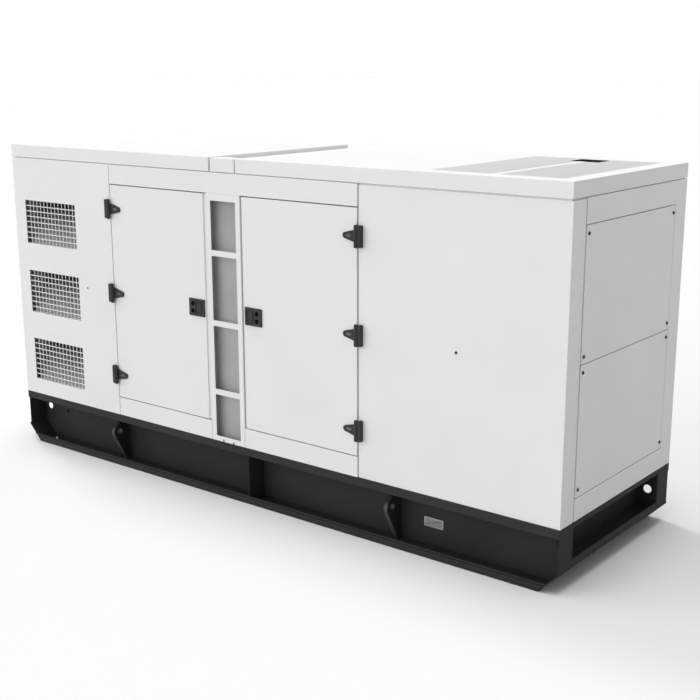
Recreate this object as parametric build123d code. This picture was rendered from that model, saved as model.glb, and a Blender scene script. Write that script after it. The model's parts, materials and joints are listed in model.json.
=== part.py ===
from build123d import *
import os

# Canopied diesel generator: a white sound-proof housing on a dark welded skid.
# Frame: +X along the length, the front long side faces -Y, +Z up, floor at z = 0.

# Overall sizes
length = 4210.0
width = 1306.0
height = 2070.0
base_height = 355.0
cut_overrun = 5.0

# Skid beams: welded C sections, open outwards, with lipped flanges and sled ends
plate = 8.0
beam_depth = 148.0
top_lip_height = 50.0
bottom_lip_height = 50.0
sled_rise = 107.0
sled_run = 108.0
drag_hole_radius = 25.0
drag_hole_inset = 60.0
drag_hole_drop = 133.0
drain_hole_radius = 10.0
drain_hole_inset = 254.0
drain_hole_drop = 140.0
divider_offset = 1030.0

# Lifting lugs welded into the beams
lug_plate = 25.0
lug_left_inset = 890.0
lug_right_inset = 1070.0
lug_eye_radius = 22.5
lug_outer_radius = 47.0
lug_eye_inset = 50.0
lug_eye_drop = 144.0
lug_foot = 34.0

# Cross channels that close the skid at both ends
cross_depth = 130.0
cross_top_lip = 30.0
cross_bottom_lip = 45.0

# Canopy walls
wall = 40.0
roof_edge = 86.0
seam = 4.0
left_panel_width = 974.0
right_panel_width = 1259.0
right_panel_recess = 6.0
right_panel_step = 5.0
sill_height = 125.0
header_height = 127.0
door_gap = 6.0
door_rebate_width = 18.0
door_rebate_depth = 8.0

# Pillar between the doors: a hollow sheet box with windows and two drain notches in its face
pillar_width = 270.0
pillar_shift = 4.0
pillar_depth = 50.0
pillar_sheet = 4.0
pillar_window_width = 200.0
pillar_head = 37.0
pillar_foot = 32.0
pillar_rail = 35.0
pillar_window_shares = (0.219, 0.2915, 0.293, 0.1965)
notch_width = 10.0
notch_height = 16.0
notch_spread = 83.0

# Air grilles: welded bars in three windows of each left-hand panel, with baffles behind
grille_inset = 112.0
grille_width = 513.0
grille_height = 290.0
grille_sill = 105.0
grille_pitch_share = 0.2925
grille_count = 3
grille_columns = 14
grille_rows = 8
grille_crossbar = 6.0
grille_upright = 4.5
grille_bar_depth = 5.0
grille_sink = 4.0
grille_layer_gap = 0.3
grille_sheet = 4.0
grille_relief = 60.0
baffle_sheet = 4.0
baffle_foot = 40.0
baffle_margin = 12.0
baffle_reach = 140.0

# Hinges: a fixed leaf with a pin and two knuckles, and a tongue on the door
hinge_inset = 150.0
hinge_height = 118.0
hinge_leaf_width = 31.0
hinge_leaf = 8.0
hinge_proud = 17.0
knuckle_radius = 12.0
knuckle_height = 26.0
pin_radius = 5.0
pin_clearance = 0.05
knuckle_gap = 0.5
tongue_length = 97.0
tongue_root_width = 14.0
tongue_tip = 34.0
tongue_thickness = 9.0

# Paddle latches
latch_width = 128.0
latch_height = 106.0
latch_thickness = 9.0
latch_inset = 95.0
paddle_width = 62.0
paddle_height = 78.0
paddle_depth = 5.0
paddle_lever = 36.0
paddle_margin = 12.0

# End walls: a frame and two removable panels
end_front_border = 151.0
end_rear_border = 139.0
end_panel_gap = 4.0
corner_groove = 10.0
corner_groove_depth = 25.0
end_header_height = 132.0
mid_rail_height = 80.0

# Roof: two lids with a lower strip between them and mesh outlets at the right
bridge_width = 213.0
bridge_drop = 25.0
bridge_block_depth = 86.0
bridge_block_drop = 2.0
bridge_left_groove = 15.0
bridge_right_groove = 8.0
bridge_groove_depth = 30.0
shadow_gap = 4.0
shadow_gap_depth = 14.0
mesh_end = 95.0
mesh_length = 785.0
mesh_border = 98.0
mesh_bar = 30.0
mesh_sheet = 4.0
mesh_rebate = 15.0
exhaust_inset = 480.0
exhaust_side = 220.0
exhaust_length = 160.0
exhaust_width = 130.0
exhaust_rim = 4.0
exhaust_depth = 120.0

# Blank rating plate on the front beam
rating_offset = 231.0
rating_drop = 210.0
rating_width = 126.0
rating_height = 54.0
rating_thickness = 3.0

# Alternator, on the deck at the grille end
shaft_rise = 545.0
alternator_inset = 540.0
alternator_length = 760.0
alternator_radius = 290.0
alternator_end_radius = 235.0
alternator_end_length = 130.0
alternator_foot = 420.0
terminal_box_length = 420.0
terminal_box_width = 440.0
terminal_box_height = 230.0

# Engine between the alternator and the radiator
flywheel_length = 140.0
flywheel_radius = 330.0
engine_width = 460.0
block_rise = 330.0
block_drop = 200.0
sump_width = 340.0
sump_drop = 400.0
head_width = 340.0
head_height = 90.0
cylinders = 6
rocker_width = 240.0
rocker_height = 60.0
rocker_gap = 18.0
manifold_width = 70.0
manifold_height = 100.0
manifold_drop = 130.0
bearer_width = 110.0
bearer_spread = 480.0
filter_radius = 130.0
filter_length = 420.0
filter_offset = 330.0

# Radiator with its fan and shroud
radiator_inset = 1140.0
radiator_thickness = 150.0
radiator_side = 120.0
radiator_headroom = 264.0
tank_height = 130.0
tank_overhang = 25.0
shroud_depth = 110.0
shroud_radius = 430.0
shroud_sheet = 40.0
fan_gap = 120.0
fan_tip_gap = 12.0
fan_shaft_radius = 60.0
fan_hub_radius = 120.0
fan_hub_length = 60.0
fan_blades = 8
fan_blade_width = 110.0
fan_blade_sheet = 8.0
fan_blade_twist = 32.0

half_length = length / 2
half_width = width / 2
wall_top = height - roof_edge
wall_height = wall_top - base_height
door_bottom = base_height + sill_height
door_top = wall_top - header_height
door_middle = (door_bottom + door_top) / 2
left_seam_x = -half_length + left_panel_width
right_seam_x = half_length - right_panel_width
pillar_x = (left_seam_x + right_seam_x) / 2 - pillar_shift
pillar_left = pillar_x - pillar_width / 2
pillar_right = pillar_x + pillar_width / 2
front_face = -half_width
front_inside = -half_width + wall
right_panel_face = front_face + right_panel_recess
web_back = -half_width + beam_depth
web_front = web_back - plate


def slab(x0, x1, y0, y1, z0, z1):
    """A box between two corners."""
    centre = Pos((x0 + x1) / 2, (y0 + y1) / 2, (z0 + z1) / 2)
    return centre * Box(x1 - x0, y1 - y0, z1 - z0)


def rod(radius, x, y, z0, z1):
    """A round bar standing on a point."""
    return Pos(x, y, (z0 + z1) / 2) * Cylinder(radius, z1 - z0)


def axle(radius, x0, x1, y, z):
    """A round bar along the length of the set."""
    return Pos((x0 + x1) / 2, y, z) * Rot(0, 90, 0) * Cylinder(radius, x1 - x0)


def outline_along_y(points, y0, y1):
    """A closed outline in X and Z, drawn out from y0 to y1."""
    face = Plane.XZ * make_face(Polyline(*points, close=True))
    return Pos(0, y1, 0) * extrude(face, amount=y1 - y0)


def to_rear(piece):
    """The same piece on the rear long side."""
    return mirror(piece, about=Plane.XZ)


def to_left(piece):
    """The same piece on the left end."""
    return mirror(piece, about=Plane.YZ)


def group(*pieces):
    """Separate solids kept together as one node."""
    return Compound(children=[solid for piece in pieces for solid in piece.solids()])


# Inner line of the bent bottom flange: its sloped ends are one plate thickness thick
slope_offset = plate * (sled_run ** 2 + sled_rise ** 2) ** 0.5 / sled_run
slope_top = sled_rise + slope_offset
slope_foot = half_length - (slope_top - plate) * sled_run / sled_rise

lug_left_x = -half_length + lug_left_inset
lug_right_x = half_length - lug_right_inset


def beam_web():
    """Recessed web plate with a drag hole near each end and one drain hole."""
    sled = [
        (-half_length, slope_top),
        (-slope_foot, plate),
        (slope_foot, plate),
        (half_length, slope_top),
        (half_length, base_height - plate),
        (-half_length, base_height - plate),
    ]
    web = outline_along_y(sled, web_front, web_back)
    holes = [
        (-half_length + drag_hole_inset, base_height - drag_hole_drop, drag_hole_radius),
        (half_length - drag_hole_inset, base_height - drag_hole_drop, drag_hole_radius),
        (-half_length + drain_hole_inset, base_height - drain_hole_drop, drain_hole_radius),
    ]
    for x, z, radius in holes:
        drill = Pos(x, web_front, z) * Rot(90, 0, 0) * Cylinder(radius, beam_depth)
        web -= drill
    return web


def beam_top_rail():
    """Top flange with its down-turned lip."""
    flange = slab(-half_length, half_length, front_face, web_back, base_height - plate, base_height)
    lip = slab(
        -half_length, half_length, front_face, front_face + plate,
        base_height - top_lip_height, base_height,
    )
    return flange + lip


def beam_bottom_rail():
    """Bottom flange bent up at the sled ends, with an up-turned lip along its straight part."""
    flange_points = [
        (-half_length, sled_rise),
        (-half_length + sled_run, 0),
        (half_length - sled_run, 0),
        (half_length, sled_rise),
        (half_length, slope_top),
        (slope_foot, plate),
        (-slope_foot, plate),
        (-half_length, slope_top),
    ]
    flange = outline_along_y(flange_points, front_face, web_back)
    lip_run = sled_run * (1 - bottom_lip_height / sled_rise)
    lip_points = [
        (-half_length + sled_run, 0),
        (half_length - sled_run, 0),
        (half_length - lip_run, bottom_lip_height),
        (-half_length + lip_run, bottom_lip_height),
    ]
    lip = outline_along_y(lip_points, front_face, front_face + plate)
    return flange + lip


def beam_stiffeners():
    """Closing plate at each end of the beam and the divider between the lugs."""
    inside = front_face + plate
    end_plate = slab(half_length - plate, half_length, inside, web_front, slope_top, base_height - plate)
    divider_x = lug_right_x - divider_offset
    divider = slab(
        divider_x - plate / 2, divider_x + plate / 2, inside, web_front, plate, base_height - plate,
    )
    return group(end_plate, to_left(end_plate), divider)


def lifting_lug(x):
    """Tapered plate from the web to a rounded eye near the outer face."""
    eye = Pos(front_face + lug_eye_inset, base_height - lug_eye_drop)
    back = make_face(
        Polyline(
            (web_front, plate),
            (web_front - lug_foot, plate),
            (web_front, base_height - plate),
            close=True,
        )
    )
    boss = eye * Circle(lug_outer_radius)
    profile = make_hull(boss.edges() + back.edges()) - eye * Circle(lug_eye_radius)
    return Pos(x - lug_plate / 2, 0, 0) * extrude(Plane.YZ * profile, amount=lug_plate)


def cross_channel():
    """Lipped channel between the beams at the right end, open outwards."""
    outer = half_length
    inner = half_length - cross_depth
    top = base_height
    points = [
        (inner, sled_rise),
        (outer, sled_rise),
        (outer, sled_rise + cross_bottom_lip),
        (outer - plate, sled_rise + cross_bottom_lip),
        (outer - plate, sled_rise + plate),
        (inner + plate, sled_rise + plate),
        (inner + plate, top - plate),
        (outer - plate, top - plate),
        (outer - plate, top - cross_top_lip),
        (outer, top - cross_top_lip),
        (outer, top),
        (inner, top),
    ]
    return outline_along_y(points, web_back, -web_back)


def deck():
    """Floor plate between the beams and the cross channels."""
    inner = half_length - cross_depth
    return slab(-inner, inner, web_back, -web_back, base_height - plate, base_height)


grille_left = -half_length + grille_inset
grille_right = grille_left + grille_width
grille_pitch = grille_pitch_share * wall_height
grille_bottoms = [base_height + grille_sill + grille_pitch * step for step in range(grille_count)]


end_inside = half_length - wall
end_panel_front = -half_width + end_front_border
end_panel_rear = half_width - end_rear_border
end_panel_bottom = base_height + sill_height
end_panel_top = wall_top - end_header_height
end_middle = (end_panel_bottom + end_panel_top) / 2


def edge_ring(z0, z1):
    """A narrow step all round the canopy's outer faces, between two levels."""
    inner_x = half_length - shadow_gap_depth
    inner_y = half_width - shadow_gap_depth
    outside = slab(-length, length, -width, width, z0, z1)
    return outside - slab(-inner_x, inner_x, -inner_y, inner_y, z0, z1)


def end_return(strip_front):
    """Folded strip of a long wall round the front corner of the right end, with a groove at its edge."""
    edge = end_panel_front - end_panel_gap
    strip = slab(end_inside, half_length, strip_front, edge, base_height, wall_top)
    return strip - slab(
        half_length - corner_groove_depth, half_length + cut_overrun, edge - corner_groove, edge,
        base_height, wall_top,
    )


def left_panel(start_x):
    """Wall panel with three grille windows, cut back behind its face beside each window."""
    panel = slab(start_x, left_seam_x, front_face, front_inside, base_height, wall_top)
    for bottom in grille_bottoms:
        panel -= slab(
            grille_left, grille_right, front_face - cut_overrun, front_inside + cut_overrun,
            bottom, bottom + grille_height,
        )
        panel -= slab(
            grille_left - grille_relief, grille_left, front_face + grille_sheet, front_inside + cut_overrun,
            bottom, bottom + grille_height,
        )
    return panel


def grilles():
    """Welded bars that fill the three windows: crossbars outside, uprights behind them."""
    bars = []
    cross_front = front_face + grille_sink
    cross_back = cross_front + grille_bar_depth
    upright_front = cross_back + grille_layer_gap
    upright_back = upright_front + grille_bar_depth
    column_pitch = grille_width / grille_columns
    row_pitch = grille_height / grille_rows
    for bottom in grille_bottoms:
        for row in range(1, grille_rows):
            z = bottom + row * row_pitch
            bars.append(slab(
                grille_left, grille_right, cross_front, cross_back,
                z - grille_crossbar / 2, z + grille_crossbar / 2,
            ))
        for column in range(1, grille_columns):
            x = grille_left + column * column_pitch
            bars.append(slab(
                x - grille_upright / 2, x + grille_upright / 2, upright_front, upright_back,
                bottom, bottom + grille_height,
            ))
    return group(*bars)


def baffles():
    """Sloped sheets behind the grilles that turn the air upwards, each on a foot against the wall."""
    sheets = []
    for bottom in grille_bottoms:
        points = [
            (front_inside, bottom - baffle_foot),
            (front_inside + baffle_sheet, bottom - baffle_foot),
            (front_inside + baffle_sheet, bottom),
            (front_inside + baffle_reach, bottom + grille_height),
            (front_inside + baffle_reach - baffle_sheet, bottom + grille_height),
            (front_inside, bottom),
        ]
        outline = Plane.YZ * make_face(Polyline(*points, close=True))
        sheet = extrude(outline, amount=grille_width + 2 * baffle_margin)
        sheets.append(Pos(grille_left - baffle_margin, 0, 0) * sheet)
    return group(*sheets)


def door_surround():
    """Header over both doors and a sill under each."""
    header = slab(
        left_seam_x + seam, right_seam_x - seam, front_face, front_inside, door_top + door_gap, wall_top,
    )
    sill_top = door_bottom - door_gap
    left_sill = slab(left_seam_x + seam, pillar_left, front_face, front_inside, base_height, sill_top)
    right_sill = slab(
        pillar_right, right_seam_x - seam, front_face, front_inside, base_height, sill_top,
    )
    return group(header, left_sill, right_sill)


def pillar():
    """Hollow post between the doors with windows in its face and two notches at its foot."""
    post_top = door_top + door_gap
    post_back = front_face + pillar_depth
    cut_back = front_face + pillar_sheet + cut_overrun
    post = slab(pillar_left, pillar_right, front_face, post_back, base_height, post_top)
    post -= slab(
        pillar_left + pillar_sheet, pillar_right - pillar_sheet,
        front_face + pillar_sheet, post_back - pillar_sheet,
        base_height + pillar_sheet, post_top - pillar_sheet,
    )
    top = door_top - pillar_head
    rails = pillar_rail * (len(pillar_window_shares) - 1)
    open_height = top - base_height - pillar_foot - rails
    for window_share in pillar_window_shares:
        bottom = top - open_height * window_share
        post -= slab(
            pillar_x - pillar_window_width / 2, pillar_x + pillar_window_width / 2,
            front_face - cut_overrun, cut_back, bottom, top,
        )
        top = bottom - pillar_rail
    for x in (pillar_x - notch_spread / 2, pillar_x + notch_spread / 2):
        post -= slab(
            x - notch_width / 2, x + notch_width / 2, front_face - cut_overrun, cut_back,
            base_height - cut_overrun, base_height + notch_height,
        )
    return post


def door(x0, x1, free_x):
    """Flat insulated door leaf with a shallow rebate along its free upright edge."""
    leaf = slab(x0, x1, front_face, front_inside, door_bottom, door_top)
    return leaf - slab(
        free_x - door_rebate_width, free_x + door_rebate_width,
        front_face - cut_overrun, front_face + door_rebate_depth,
        door_bottom - cut_overrun, door_top + cut_overrun,
    )


def right_panel(end_x):
    """Plain wall panel, slightly set back, with a step along its top edge."""
    panel = slab(
        right_seam_x, end_x, right_panel_face, right_panel_face + wall, base_height, wall_top,
    )
    return panel - edge_ring(wall_top - right_panel_step, wall_top + cut_overrun)


hinge_y = front_face - hinge_proud
hinge_levels = (door_top - hinge_inset, door_middle, door_bottom + hinge_inset)


def hinge_fixed(level, seam_x, side, leaf_back):
    """Fixed leaf, two knuckles and the pin; side is -1 with the leaf to the left."""
    low = level - hinge_height / 2
    high = level + hinge_height / 2
    leaf_start = seam_x + side * (knuckle_radius + knuckle_gap)
    leaf_end = seam_x + side * hinge_leaf_width
    piece = slab(
        min(leaf_start, leaf_end), max(leaf_start, leaf_end),
        hinge_y - hinge_leaf / 2, leaf_back, low, high,
    )
    for z0, z1 in ((low, low + knuckle_height), (high - knuckle_height, high)):
        arm = slab(
            min(seam_x, leaf_end), max(seam_x, leaf_end),
            hinge_y - hinge_leaf / 2, hinge_y + hinge_leaf / 2, z0, z1,
        )
        piece += rod(knuckle_radius, seam_x, hinge_y, z0, z1) + arm
    piece += rod(pin_radius, seam_x, hinge_y, low, high)
    return piece


def hinge_tongue(level, seam_x, side):
    """Door half of a hinge: a knuckle on the pin and a tapered tongue."""
    low = level - hinge_height / 2 + knuckle_height + knuckle_gap
    high = level + hinge_height / 2 - knuckle_height - knuckle_gap
    tip_x = seam_x - side * (tongue_length - tongue_tip / 2)
    root_x = seam_x - side * (door_gap + tongue_root_width / 2)
    tip = Pos(tip_x, level) * Circle(tongue_tip / 2)
    root = Pos(root_x, level) * Rectangle(tongue_root_width, high - low)
    outline = Plane.XZ * make_hull(tip.edges() + root.edges())
    tongue = Pos(0, front_face, 0) * extrude(outline, amount=tongue_thickness)
    arm = slab(
        min(seam_x, root_x), max(seam_x, root_x),
        hinge_y - hinge_leaf / 2, front_face - tongue_thickness + cut_overrun, low, high,
    )
    knuckle = rod(knuckle_radius, seam_x, hinge_y, low, high)
    bore = rod(pin_radius + pin_clearance, seam_x, hinge_y, low, high)
    return tongue + arm + knuckle - bore


def hinge_plain(level, seam_x, side, leaf_back):
    """One-piece hinge of a fixed rear door: barrel, leaf and tapered tongue."""
    low = level - hinge_height / 2
    high = level + hinge_height / 2
    leaf_end = seam_x + side * hinge_leaf_width
    leaf = slab(
        min(seam_x, leaf_end), max(seam_x, leaf_end), hinge_y - hinge_leaf / 2, leaf_back, low, high,
    )
    tip_x = seam_x - side * tongue_length
    outline = [
        (seam_x, low + knuckle_height),
        (tip_x, level - tongue_tip / 2),
        (tip_x, level + tongue_tip / 2),
        (seam_x, high - knuckle_height),
    ]
    tongue = outline_along_y(outline, front_face - tongue_thickness, front_face)
    return leaf + tongue + rod(knuckle_radius, seam_x, hinge_y, low, high)


def latch(x, side):
    """Paddle latch: a plate with a lever in a pocket; side is +1 with its locks to the right."""
    plate_front = front_face - latch_thickness
    body = slab(
        x - latch_width / 2, x + latch_width / 2, plate_front, front_face,
        door_middle - latch_height / 2, door_middle + latch_height / 2,
    )
    paddle_x = x - side * ((latch_width - paddle_width) / 2 - paddle_margin)
    body -= slab(
        paddle_x - paddle_width / 2, paddle_x + paddle_width / 2,
        plate_front - cut_overrun, plate_front + paddle_depth,
        door_middle - paddle_height / 2, door_middle + paddle_height / 2,
    )
    lever_half = paddle_height / 2 - paddle_margin
    body += slab(
        paddle_x - paddle_lever / 2, paddle_x + paddle_lever / 2, plate_front, plate_front + paddle_depth,
        door_middle - lever_half, door_middle + lever_half,
    )
    return body


def end_frame():
    """Header, sill and rear corner strip of the right end in one piece, and a middle rail behind them."""
    front = end_panel_front - end_panel_gap
    rear = end_panel_rear + end_panel_gap
    frame = slab(end_inside, half_length, rear, half_width, base_height, wall_top)
    frame += slab(end_inside, half_length, front, rear, end_panel_top + end_panel_gap, wall_top)
    frame += slab(end_inside, half_length, front, rear, base_height, end_panel_bottom - end_panel_gap)
    middle = slab(
        end_inside - wall, end_inside, front, rear,
        end_middle - mid_rail_height / 2, end_middle + mid_rail_height / 2,
    )
    return group(frame, middle)


def end_panels():
    """Upper and lower removable panels of the right end."""
    lower = slab(
        end_inside, half_length, end_panel_front, end_panel_rear,
        end_panel_bottom, end_middle - end_panel_gap / 2,
    )
    upper = slab(
        end_inside, half_length, end_panel_front, end_panel_rear,
        end_middle + end_panel_gap / 2, end_panel_top,
    )
    return group(lower, upper)


bridge_left = pillar_x - bridge_width / 2
bridge_right = pillar_x + bridge_width / 2
mesh_right = half_length - mesh_end
mesh_left = mesh_right - mesh_length
mesh_half = half_width - mesh_border
exhaust_x = half_length - exhaust_inset
exhaust_y = half_width - exhaust_side


def shadow_ring():
    """The narrow step all round under the roof's edge."""
    return edge_ring(wall_top - cut_overrun, wall_top + shadow_gap)


def lid(x0, x1):
    """Roof lid: a top slab with its edges turned down over the walls."""
    cover = slab(x0, x1, -half_width, half_width, wall_top, height)
    hollow = slab(
        x0 + wall, x1 - wall, -half_width + wall, half_width - wall,
        wall_top - cut_overrun, height - wall,
    )
    return cover - hollow - shadow_ring()


def roof_right():
    """Right lid with two mesh outlets, each with a rebate for its sheet, and the exhaust opening."""
    cover = lid(bridge_right, half_length)
    outlet_half = mesh_half - mesh_rebate
    for x0, x1 in mesh_fields():
        cover -= slab(x0, x1, -mesh_half, mesh_half, height - mesh_sheet, height + cut_overrun)
        cover -= slab(
            x0 + mesh_rebate, x1 - mesh_rebate, -outlet_half, outlet_half,
            height - wall - cut_overrun, height,
        )
    cover -= exhaust_block(exhaust_rim, wall + cut_overrun)
    return cover


def mesh_fields():
    """The two mesh fields along the roof, split by a bar."""
    middle = (mesh_left + mesh_right) / 2
    return ((mesh_left, middle - mesh_bar / 2), (middle + mesh_bar / 2, mesh_right))


def exhaust_block(margin, depth):
    """A block over the exhaust opening, wider than it by a margin."""
    return slab(
        exhaust_x - exhaust_length / 2 - margin, exhaust_x + exhaust_length / 2 + margin,
        exhaust_y - exhaust_width / 2 - margin, exhaust_y + exhaust_width / 2 + margin,
        height - depth, height + cut_overrun,
    )


def roof_mesh():
    """Two perforated sheets laid in the roof."""
    sheets = []
    for x0, x1 in mesh_fields():
        sheet = slab(x0, x1, -mesh_half, mesh_half, height - mesh_sheet, height)
        sheets.append(sheet - exhaust_block(exhaust_rim, wall))
    return group(*sheets)


def exhaust_outlet():
    """Rectangular exhaust duct let into the roof."""
    outside = exhaust_block(exhaust_rim, exhaust_depth) & slab(
        -half_length, half_length, -half_width, half_width, 0, height,
    )
    return outside - exhaust_block(0, exhaust_depth - exhaust_rim)


def roof_bridge():
    """Lower strip between the lids, closed by a raised block at the front."""
    strip_front = front_face + bridge_groove_depth
    strip = slab(bridge_left, bridge_right, strip_front, half_width, wall_top, height - bridge_drop)
    block = slab(
        bridge_left + bridge_left_groove, bridge_right - bridge_right_groove,
        -half_width, -half_width + bridge_block_depth, wall_top, height - bridge_block_drop,
    )
    return strip + block - shadow_ring()


def rating_plate():
    """Blank metal plate on the front web."""
    rating_x = lug_right_x + rating_offset
    rating_z = base_height - rating_drop
    return slab(
        rating_x - rating_width / 2, rating_x + rating_width / 2,
        web_front - rating_thickness, web_front,
        rating_z - rating_height / 2, rating_z + rating_height / 2,
    )


shaft_z = base_height + shaft_rise
alternator_left = -half_length + alternator_inset
alternator_right = alternator_left + alternator_length


def alternator():
    """Round alternator with a narrower fan end, a terminal box on top and a foot under it."""
    profile = make_face(
        Polyline(
            (0, 0),
            (0, alternator_end_radius),
            (alternator_end_length, alternator_end_radius),
            (alternator_end_length, alternator_radius),
            (alternator_length, alternator_radius),
            (alternator_length, 0),
            close=True,
        )
    )
    barrel = Pos(alternator_left, 0, shaft_z) * revolve(profile, axis=Axis.X)
    middle = alternator_left + alternator_length / 2
    foot = slab(
        middle - alternator_foot / 2, middle + alternator_foot / 2,
        -alternator_end_radius, alternator_end_radius, base_height, shaft_z,
    )
    box = slab(
        middle - terminal_box_length / 2, middle + terminal_box_length / 2,
        -terminal_box_width / 2, terminal_box_width / 2,
        shaft_z, shaft_z + alternator_radius + terminal_box_height,
    )
    return barrel + foot + box


radiator_left = half_length - radiator_inset
radiator_right = radiator_left + radiator_thickness
radiator_top = wall_top - radiator_headroom
radiator_half = half_width - radiator_side
fan_z = (base_height + radiator_top) / 2
shroud_inner = shroud_radius - shroud_sheet
block_left = alternator_right + flywheel_length
engine_right = radiator_left - shroud_depth - fan_gap


def engine():
    """Engine with flywheel housing, sump, heads, manifold, air filter and bearers on the deck."""
    block_bottom = shaft_z - block_drop
    block_top = shaft_z + block_rise
    half = engine_width / 2
    body = axle(flywheel_radius, alternator_right, block_left, 0, shaft_z)
    body += slab(block_left, engine_right, -half, half, block_bottom, block_top)
    body += slab(
        block_left, engine_right, -sump_width / 2, sump_width / 2, shaft_z - sump_drop, block_bottom,
    )
    head_top = block_top + head_height
    body += slab(block_left, engine_right, -head_width / 2, head_width / 2, block_top, head_top)
    pitch = (engine_right - block_left) / cylinders
    for cylinder in range(cylinders):
        x = block_left + cylinder * pitch
        body += slab(
            x + rocker_gap / 2, x + pitch - rocker_gap / 2, -rocker_width / 2, rocker_width / 2,
            head_top, head_top + rocker_height,
        )
    manifold_bottom = block_top - manifold_drop
    body += slab(
        block_left + pitch / 2, engine_right - pitch / 2, -half - manifold_width, -half,
        manifold_bottom, manifold_bottom + manifold_height,
    )
    filter_x = (block_left + engine_right) / 2
    body += axle(
        filter_radius, filter_x - filter_length / 2, filter_x + filter_length / 2, filter_offset, block_top,
    )
    for x in (block_left, engine_right - bearer_width):
        for y in (-bearer_spread / 2, bearer_spread / 2 - bearer_width):
            body += slab(x, x + bearer_width, y, y + bearer_width, base_height, shaft_z)
    return body


def fan():
    """Bladed fan on a shaft from the engine, turning in the shroud."""
    hub_x = radiator_left - shroud_depth / 2
    body = axle(fan_shaft_radius, engine_right, hub_x, 0, fan_z)
    body += axle(fan_hub_radius, hub_x - fan_hub_length / 2, hub_x + fan_hub_length / 2, 0, fan_z)
    tip = shroud_inner - fan_tip_gap
    root = fan_hub_radius / 2
    for step in range(fan_blades):
        turn = Pos(hub_x, 0, fan_z) * Rot(360 * step / fan_blades, 0, 0)
        blade = Box(fan_blade_sheet, fan_blade_width, tip - root)
        body += turn * Pos(0, 0, (tip + root) / 2) * Rot(0, 0, fan_blade_twist) * blade
    return body


def radiator():
    """Radiator core between two tanks, with a fan shroud on its engine side."""
    body = slab(radiator_left, radiator_right, -radiator_half, radiator_half, base_height, radiator_top)
    for z0 in (base_height, radiator_top - tank_height):
        body += slab(
            radiator_left - tank_overhang, radiator_right + tank_overhang,
            -radiator_half, radiator_half, z0, z0 + tank_height,
        )
    shroud = axle(shroud_radius, radiator_left - shroud_depth, radiator_left, 0, fan_z)
    return body + (shroud - axle(shroud_inner, radiator_left - shroud_depth, radiator_left, 0, fan_z))


left_door_span = (left_seam_x + door_gap, pillar_left - door_gap)
right_door_span = (pillar_right + door_gap, right_seam_x - door_gap)


def hinge_set(make_hinge):
    """Six hinges of one long side, three at each door."""
    hinges = []
    for level in hinge_levels:
        hinges.append(make_hinge(level, left_seam_x, -1, front_face))
        hinges.append(make_hinge(level, right_seam_x, 1, right_panel_face))
    return hinges


def front_right_panel():
    """Right-hand wall panel of the front with its folded strip round the corner."""
    step = edge_ring(wall_top - right_panel_step, wall_top + cut_overrun)
    return right_panel(half_length) + end_return(right_panel_face) - step


def tongue_set(seam_x, side):
    """The three door halves of one door's hinges."""
    return [hinge_tongue(level, seam_x, side) for level in hinge_levels]


nodes = {
    "front_web": beam_web(),
    "front_top_rail": beam_top_rail(),
    "front_bottom_rail": beam_bottom_rail(),
    "front_stiffeners": beam_stiffeners(),
    "front_lifting_lugs": group(lifting_lug(lug_left_x), lifting_lug(lug_right_x)),
    "right_cross_channel": cross_channel(),
    "left_cross_channel": to_left(cross_channel()),
    "deck_plate": deck(),
    "front_left_panel": left_panel(-half_length) + to_left(end_return(front_face)),
    "front_grilles": grilles(),
    "intake_baffles": group(baffles(), to_rear(baffles())),
    "front_door_surround": door_surround(),
    "front_pillar": pillar(),
    "front_left_door": door(*left_door_span, left_door_span[1]),
    "front_right_door": door(*right_door_span, right_door_span[0]),
    "front_right_panel": front_right_panel(),
    "front_hinge_leaves": group(*hinge_set(hinge_fixed)),
    "front_left_tongues": group(*tongue_set(left_seam_x, -1)),
    "front_right_tongues": group(*tongue_set(right_seam_x, 1)),
    "front_left_latch": latch(pillar_left - latch_inset, -1),
    "front_right_latch": latch(pillar_right + latch_inset, 1),
    "right_end_frame": end_frame(),
    "right_end_panels": end_panels(),
    "left_end_frame": to_left(end_frame()),
    "left_end_panels": to_left(end_panels()),
    "roof_left": lid(-half_length, bridge_left),
    "roof_right": roof_right(),
    "roof_bridge": roof_bridge(),
    "roof_mesh": roof_mesh(),
    "exhaust_outlet": exhaust_outlet(),
    "rating_plate": rating_plate(),
    "alternator": alternator(),
    "engine": engine(),
    "fan": fan(),
    "radiator": radiator(),
}

for name in ("web", "top_rail", "bottom_rail", "stiffeners", "lifting_lugs", "grilles",
             "door_surround", "pillar"):
    nodes["rear_" + name] = to_rear(nodes["front_" + name])
nodes["rear_panels"] = to_rear(group(left_panel(-end_inside), right_panel(end_inside)))
nodes["rear_doors"] = to_rear(group(nodes["front_left_door"], nodes["front_right_door"]))
nodes["rear_hinges"] = to_rear(group(*hinge_set(hinge_plain)))
nodes["rear_latches"] = to_rear(group(nodes["front_left_latch"], nodes["front_right_latch"]))

os.makedirs("parts", exist_ok=True)
for name, piece in nodes.items():
    export_step(piece, os.path.join("parts", name + ".step"))
print(len(nodes), "nodes written")
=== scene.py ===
import json
import math

import bmesh
import bpy
from mathutils import Matrix, Vector


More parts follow.
